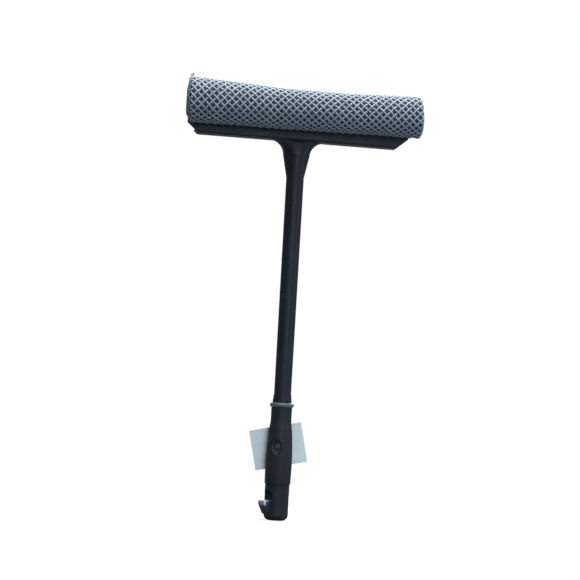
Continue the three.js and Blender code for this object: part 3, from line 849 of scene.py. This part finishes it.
# %% Settling
soft_slide = 1.4 * mm
left_swell = 0.045
right_swell = -0.06
front_swell_share = 0.5
crown_sag = 3.0 * mm
corner_rise = 0.7 * mm
corner_rise_power = 6
uneven_height = 0.15 * mm
uneven_waves = ((9.0, 0.6, 1.0), (23.0, 2.0, 0.6))
lower_skew = 2.6 * mm
lower_skew_power = 1.5
corner_pull = 1.8 * mm
pull_from_height = 0.5
pull_height = 0.25
pull_reach = 0.12
front_drag = 0.8 * mm
free_depth = 4 * mm


def settled(points):
    """Points of foam or net once the sponge is squeezed into shape."""
    x, y, z = points.T
    share = ramp(x - pad_low.x, pad_high.x - pad_low.x)
    above = ramp(z - pad_low.z, pad_high.z - pad_low.z)
    front = ramp(crown_foot - y, crown_depth)
    clear = np.maximum(crown_foot - y, np.abs(z - pad_middle.z) - foot_half_height)
    free = eased(ramp(clear, free_depth))
    swell = left_swell + (right_swell - left_swell) * share
    waves = sum(size * np.sin(share * pace + start) for pace, start, size in uneven_waves)
    uneven = uneven_height * waves
    sag = corner_rise * share ** corner_rise_power - crown_sag * np.sin(math.pi * share)
    pulled = ramp(above - pull_from_height, pull_height) * (1 - ramp(share, pull_reach)) ** 2
    aside = lower_skew * (1 - above) ** lower_skew_power + corner_pull * pulled
    return np.column_stack([
        x + (soft_slide + free * aside - front_drag * front),
        y + free * ((y - crown_foot) * swell * front_swell_share - uneven),
        z + free * ((z - pad_middle.z) * swell + above ** 2 * sag + uneven)])


crown_top = np.array([[pad_middle.x, crown_foot, pad_high.z]])
print("the crown's top sags in mm:", ((crown_top - settled(crown_top)) / mm).round(1)[0, 2])

# %% [markdown]
# ## The foam pad
# Open-celled foam is a froth of burst bubbles: round pits of about a millimetre with fine walls. They
# are too fine for a mesh, so a texture of cells gives them. The distance to a cell's middle pushes
# each pit in and darkens it with painted shade, a second finer set breaks the walls up, and a slow
# noise lets some patches hold more dirt than others.

# %% Foam finish
foam_pit_shade = (0.018, 0.022, 0.027)
foam_wall = (0.078, 0.092, 0.108)
foam_dirt = (0.048, 0.050, 0.052)
wall_edge = (0.15, 0.6)


def charcoal_foam():
    """The pad's material."""
    finish = Surface("charcoal_foam", Specular_IOR_Level=0.15)
    pits = finish.node("TexVoronoi", None, {"Vector": finish.place, "Scale": 900})
    small_pits = finish.node("TexVoronoi", None, {"Vector": finish.place, "Scale": 2100})
    wall = pits.fade(*wall_edge) * 0.7 + small_pits.fade(*wall_edge) * 0.3
    patch = finish.noise(90, detail=4).fade(0.35, 0.7)
    # Painted shade: darker in each pit than on its walls.
    colour = finish.mix(wall, foam_pit_shade, foam_wall)
    colour = finish.layer(colour, foam_dirt, patch, share=0.35)
    return finish.dress(colour, 0.78 + 0.18 * patch, bumps=wall, depth=0.5 * mm)


# %% [markdown]
# The pad is cut from a block. A subdivided box could be displaced, but its faces would not follow
# the section, so the pad is a dense grid round the section and along the length. Each point moves
# out where a diamond lets the foam swell. The cut ends close with rings that bulge a little, because
# a squeezed sponge pushes out where nothing holds it.

# %% Foam skin and ends
foam_step = 0.62 * mm
press_depth = 0.35 * mm
swell_height = 0.55 * mm
hem_fade = 2 * mm
hem_drop = 0.3
end_fade = 3 * mm
end_rings = 14


def foam_skin():
    """The foam's outer loops, one for each station along its length."""
    stations = np.linspace(-soft_half, soft_half, int(2 * soft_half / foam_step))
    around = np.linspace(wrap_places[-1], wrap_places[0], int(wrap_length / foam_step))
    inside = ramp(crown_length / 2 - np.abs(around), hem_fade)
    loops = []
    for along in stations:
        first, second = counters(along, around)
        swelling = (np.sin(math.pi * first) * np.sin(math.pi * second)) ** 2
        near_end = ramp(soft_half - abs(along), end_fade)
        lift = inside * near_end * (swelling * (press_depth + swell_height) - press_depth)
        lift = lift - end_drop(along) * np.clip(inside + hem_drop, 0, 1)
        points, _ = soft_points(np.full(len(around), along), around, lift)
        loops.append(points)
    return np.array(loops)


def foam_end(loop, way):
    """Rings that close one end, bulging towards way, and the point in its middle."""
    heart = np.array([loop[0, 0], *end_heart])
    rings = []
    for ring in range(1, end_rings):
        points = heart + (loop - heart) * (1 - ring / end_rings)
        points[:, 0] += way * end_swell(points[:, 1:])
        rings.append(points)
    tip = heart + np.array([way * end_bulge, 0, 0])
    return rings, tip


# %% Foam piece
def make_mesh(name, vertices, faces, finish, body):
    """A smooth-shaded piece that rides on a CAD body."""
    mesh = bpy.data.meshes.new(name)
    mesh.from_pydata([tuple(vertex) for vertex in vertices], [], faces)
    mesh.polygons.foreach_set("use_smooth", [True] * len(mesh.polygons))
    mesh.materials.append(finish)
    mesh.update()
    piece = placed(name, mesh)
    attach(piece, body)
    return piece


def strips(rows, width):
    """Quads between neighbouring closed loops of a grid."""
    faces = []
    for row in range(rows - 1):
        here = row * width
        there = here + width
        for corner in range(width):
            after = (corner + 1) % width
            faces.append((here + corner, here + after, there + after, there + corner))
    return faces


def foam_pad(finish):
    """The skin and both ends in one closed mesh."""
    skin = foam_skin()
    left_rings, left_tip = foam_end(skin[0], -1)
    right_rings, right_tip = foam_end(skin[-1], 1)
    loops = [*reversed(left_rings), *skin, *right_rings]
    width = skin.shape[1]
    vertices = settled(np.vstack([*loops, left_tip, right_tip]))
    faces = strips(len(loops), width)
    last_loop = (len(loops) - 1) * width
    left, right = last_loop + width, last_loop + width + 1
    for corner in range(width):
        after = (corner + 1) % width
        faces.append((left, after, corner))
        faces.append((right, last_loop + corner, last_loop + after))
    return make_mesh("foam_pad", vertices, faces, finish, "frame")


foam = foam_pad(charcoal_foam())
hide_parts("sponge_pad")
print("foam pad of", len(foam.data.polygons), "faces")

# %% [markdown]
# ## The net
# The scrubbing net is knotted from twisted cord. A picture of a net on a solid sheet would look flat
# from every side, because a net is air for the most part, so this one is made strand by strand. A
# strand is a closed tube of oval section, and a small flattened ball fills each crossing. Both are
# loops of vertices, one after another, with a cap at either end.

# %% Tubes and knots
strand_sides = 8
strand_turns = np.arange(strand_sides) * 2 * math.pi / strand_sides
knot_levels = (-0.82, -0.3, 0.3, 0.82)


class NetMesh:
    """Collects tubes and knots, with the length along its strand for each vertex."""

    def __init__(self):
        self.vertices = []
        self.faces = []
        self.lengths = []

    def loops(self, rings, lengths):
        """Joins closed loops of vertices, each at a length along, and caps the first and the last."""
        first = len(self.vertices)
        last = first + (len(rings) - 1) * strand_sides
        self.vertices.extend(rings.reshape(-1, 3))
        self.lengths.extend(np.repeat(lengths, strand_sides))
        for face in strips(len(rings), strand_sides):
            self.faces.append(tuple(first + corner for corner in face))
        self.faces.append(tuple(first + corner for corner in reversed(range(strand_sides))))
        self.faces.append(tuple(last + corner for corner in range(strand_sides)))

    def tube(self, points, normals, half_width, half_height):
        """A closed tube of oval section along points, its flat side across the normals."""
        across = unit(np.cross(normals, unit(np.gradient(points, axis=0))))
        wide = across[:, None, :] * np.cos(strand_turns)[:, None] * half_width
        high = normals[:, None, :] * np.sin(strand_turns)[:, None] * half_height
        self.loops(points[:, None, :] + (wide + high), run_length(points))

    def knot(self, centre, normal, half_width, half_height):
        """A small flattened ball."""
        side = np.cross(normal, np.eye(3)[np.argmin(np.abs(normal))])
        side /= np.linalg.norm(side)
        front = np.cross(side, normal)
        circle = np.cos(strand_turns)[:, None] * front + np.sin(strand_turns)[:, None] * side
        rings = []
        for level in knot_levels:
            radius = half_width * math.sqrt(1 - level * level)
            rings.append(centre + circle * radius + normal * level * half_height)
        self.loops(np.array(rings), np.zeros(len(rings)))


# %% [markdown]
# The net lies on the foam's skin. Along its long sides it runs on round the crown's foot and tucks
# into the tray. At its ends it turns in over the rim, so a place past the rim slides inwards over
# the bulging foam. A Shrinkwrap modifier could lay a flat net on the pad, but it would flatten the
# strands.

# %% Places on the net
strand_lift = 0.25 * mm
net_end_gap = 0.9 * mm
end_cover = 8 * mm
cover_fade = 1.6 * end_cover
rim_radius = np.linalg.norm(end_rim - end_heart, axis=1)


def lifted(along, around, lift):
    """Points and normals of the settled net, at a lift over the foam."""
    rim = np.clip(along, -soft_half, soft_half)
    points, section_normal = soft_points(rim, around, -end_drop(rim))
    past = np.abs(along - rim)
    points[:, 1:] += unit(end_heart - points[:, 1:]) * past[:, None]
    points[:, 0] += np.sign(along) * np.where(past > 0, end_swell(points[:, 1:]), 0)
    turn = end_turn(along)
    endwards = np.sign(along) * turn / end_round_length
    outwards = np.sqrt(1 - turn ** 2) / end_round_drop
    facing = unit(np.column_stack([endwards, outwards]))
    normals = np.column_stack([facing[:, 0], section_normal * facing[:, 1:]])
    return settled(points + normals * lift[:, None]), normals


def net_reach(around):
    """How far from its middle the net runs: over the rim on the crown, and short of it at the tray."""
    cover = end_cover * np.interp(around, wrap_places, rim_radius / rim_radius.max())
    over = eased(ramp(crown_length / 2 - np.abs(around), cover_fade))
    return soft_half - net_end_gap + (net_end_gap + cover) * over


# %% [markdown]
# Each strand follows one diagonal from hem to hem, or to the end of the net. An Array modifier could
# copy one strand, but each bends and ends in its own way. It passes over one neighbour and under the
# next: a cosine of the other family's counter lifts and lowers it.

# %% Strands and knots of the net
strand_half_width = 0.80 * mm
strand_half_height = 0.45 * mm
weave_height = 0.22 * mm
strand_step = 0.8 * mm
diagonal_share = 1.4
fewest_points = 4
knot_half_width = 0.95 * mm
knot_half_height = 0.55 * mm


def net_strands(net):
    """Both families of strands."""
    slope = diamond_width / diamond_height
    steps = int(wrap_length / strand_step * diagonal_share)
    around = np.linspace(-wrap_length / 2, wrap_length / 2, steps)
    count = int((soft_half + end_cover + wrap_length / 2 * slope) / diamond_width) + 1
    for lean in (1, -1):
        for number in range(-count, count + 1):
            along = number * diamond_width - lean * around * slope
            on_net = np.abs(along) <= net_reach(around)
            if on_net.sum() < fewest_points:
                continue
            first, second = counters(along[on_net], around[on_net])
            other = second if lean > 0 else first
            weave = lean * weave_height * np.cos(math.pi * (other + number))
            points, normals = lifted(along[on_net], around[on_net], strand_lift + weave)
            net.tube(points, normals, strand_half_width, strand_half_height)


def tie(net, along, around, half_width, half_height):
    """A knot at one place on the net. Gives its middle."""
    points, normals = lifted(np.array([along]), np.array([around]), np.array([strand_lift]))
    net.knot(points[0], normals[0], half_width, half_height)
    return points[0]


def net_knots(net):
    """A knot wherever two strands cross on the crown."""
    columns = int(2 * (soft_half + end_cover) / diamond_width) + 2
    rows = int(crown_length / diamond_height) + 2
    for column in range(-2 * columns, 2 * columns + 1):
        for row in range(-2 * rows, 2 * rows + 1):
            along = column * diamond_width / 2
            around = row * diamond_height / 2
            crossing = (column + row) % 2 == 0
            if crossing and abs(along) <= net_reach(around) and abs(around) <= crown_length / 2:
                tie(net, along, around, knot_half_width, knot_half_height)


net_mesh = NetMesh()
net_strands(net_mesh)
net_knots(net_mesh)
print("corners of strands and knots:", len(net_mesh.vertices))

# %% [markdown]
# At both ends a thicker cord draws the net together over the cut foam, and the left cord's two tied
# ends stand up at the sponge's upper corner. Curves with a bevel would be pieces of their own, so
# these are tubes in the same mesh.

# %% Binding cords
binding_radius = 0.75 * mm
binding_overlap = 3 * mm
binding_points = 160
tail_from_end = 2 * mm
tail_from_foot = 4 * mm
tail_lengths = (3.4 * mm, 2.3 * mm)
tail_leans = (0.7 * mm, -1.0 * mm)
tail_bend = 0.7
tail_points = 12
tail_knot_half_width = 2 * binding_radius
tail_knot_half_height = 1.5 * binding_radius


def net_bindings(net):
    """The cord that binds each end of the net."""
    half = crown_length / 2 + binding_overlap
    around = np.linspace(-half, half, binding_points)
    for way in (-1, 1):
        points, normals = lifted(way * net_reach(around), around, np.full(len(around), strand_lift))
        net.tube(points, normals, binding_radius, binding_radius)


def binding_tails(net):
    """The two tied ends of the left cord."""
    along = tail_from_end - soft_half
    around = crown_length / 2 - tail_from_foot
    corner = tie(net, along, around, tail_knot_half_width, tail_knot_half_height)
    share = np.linspace(0, 1, tail_points)[:, None]
    to_front = np.tile([0.0, -1.0, 0.0], (tail_points, 1))
    for length, lean in zip(tail_lengths, tail_leans):
        aside = share ** tail_bend * np.array([lean, 0, 0])
        rise = corner + share * np.array([0, 0, length]) + aside
        net.tube(rise, to_front, binding_radius, binding_radius)


net_bindings(net_mesh)
binding_tails(net_mesh)
print("with the binding cords:", len(net_mesh.vertices))

# %% [markdown]
# The cord is pale nylon twisted from fibres, which are too fine to model. The twist shows as ridges
# across each strand, so their bumps use the length along the strand, which the mesh stores for every
# vertex. Grime greys the cord in patches.

# %% Net piece
nylon = (0.28, 0.33, 0.385)
nylon_pale = (0.40, 0.455, 0.51)
nylon_grime = (0.12, 0.14, 0.165)
twist_pitch = 0.9 * mm


def twisted_nylon():
    """The cord's material."""
    finish = Surface("twisted_nylon", Specular_IOR_Level=0.3)
    length = finish.node("Attribute", {"attribute_name": "strand_length"}, output="Fac")
    ridges = (length * (2 * math.pi / twist_pitch)).math("SINE")
    grime = finish.noise(120, detail=5, roughness=0.65).fade(0.42, 0.72)
    tone = finish.noise(420).fade(0.3, 0.7)
    colour = finish.mix(tone, nylon, nylon_pale)
    colour = finish.layer(colour, nylon_grime, grime, share=0.35)
    return finish.dress(colour, 0.55 + 0.2 * grime, bumps=ridges * 0.5 + 0.5, depth=0.06 * mm)


net = make_mesh("net_cover", net_mesh.vertices, net_mesh.faces, twisted_nylon(), "frame")
strand_length = net.data.attributes.new("strand_length", "FLOAT", "POINT")
strand_length.data.foreach_set("value", np.array(net_mesh.lengths, np.float32))
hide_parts("mesh_cover")
print("net of", len(net.data.polygons), "faces")
